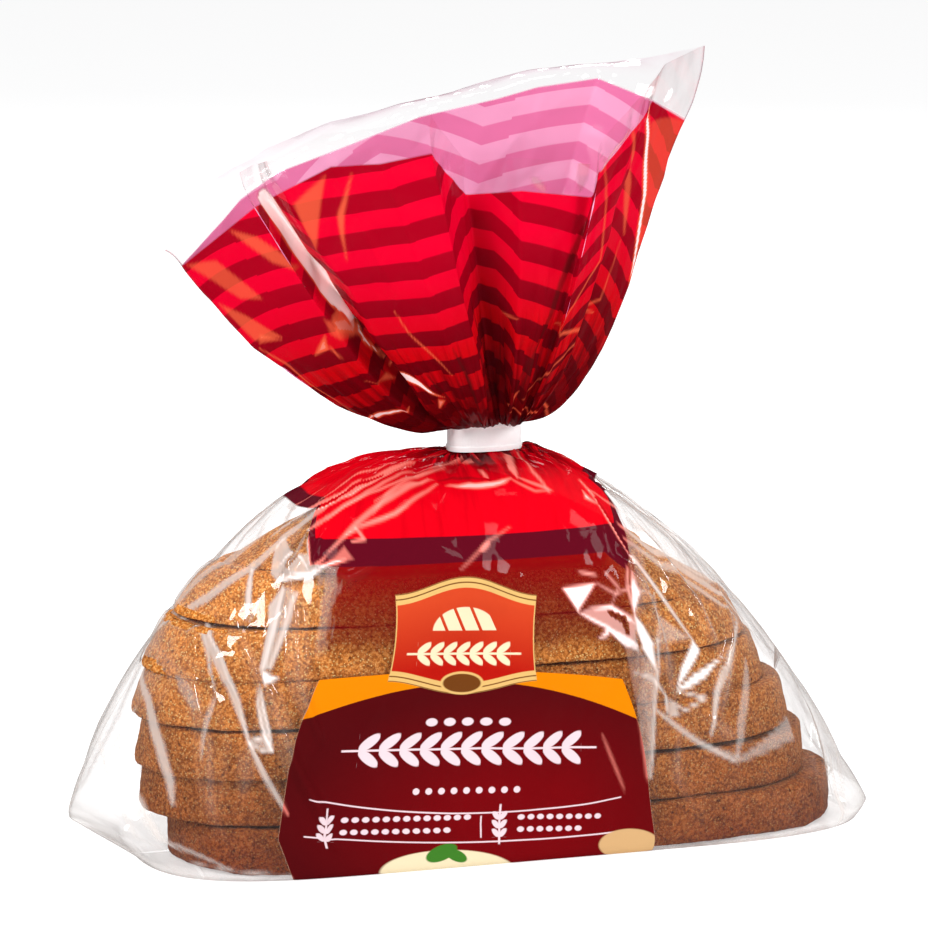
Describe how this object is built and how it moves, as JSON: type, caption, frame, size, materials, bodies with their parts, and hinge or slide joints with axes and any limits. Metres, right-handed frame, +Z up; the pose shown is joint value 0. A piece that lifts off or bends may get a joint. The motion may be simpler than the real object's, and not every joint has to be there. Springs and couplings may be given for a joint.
{
  "type": "sliced half loaf in a bread bag",
  "caption": "Sliced half of a round loaf shut in a clear printed bag, gathered at the neck by a white plastic clip, with its pleated mouth open above.",
  "frame": {"origin": "on the floor, in the plane of the flat base, straight below the middle of the neck", "axes": "+Z up through the neck, -Y out of the printed front, +X along the half loaf to the right as seen from the front"},
  "size_m": [0.2223, 0.0908, 0.2143],
  "materials": {
    "bag_film": "glossy clear film with printed red and burgundy fields",
    "clip_plastic": "smooth white plastic band"
  },
  "bodies": {
    "root": {"bag": "bag_film", "clip": "clip_plastic"}
  },
  "joints": []
}
